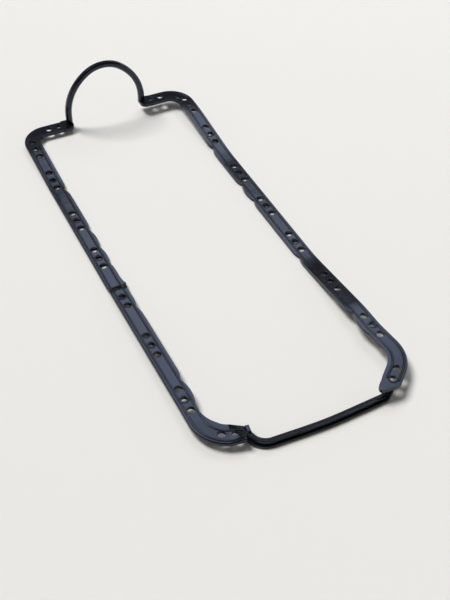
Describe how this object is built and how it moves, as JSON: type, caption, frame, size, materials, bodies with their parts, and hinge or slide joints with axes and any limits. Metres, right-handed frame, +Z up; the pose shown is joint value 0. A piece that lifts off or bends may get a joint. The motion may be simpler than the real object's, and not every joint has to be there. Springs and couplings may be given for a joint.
{
  "type": "oil pan gasket",
  "caption": "One-piece moulded rubber frame gasket with scalloped rails, twin sealing beads, spread bolt holes and an arch cord at each end.",
  "frame": {"origin": "midway between the two middle bolt holes of the rails, on the surface the gasket rests on", "axes": "X across the two rails, +Y along the rails towards the narrow upright arch, +Z up from the resting surface"},
  "size_m": [0.2163, 0.5201, 0.0778],
  "materials": {
    "rubber": "satin black moulded rubber"
  },
  "bodies": {
    "root": {"gasket": "rubber"}
  },
  "joints": []
}
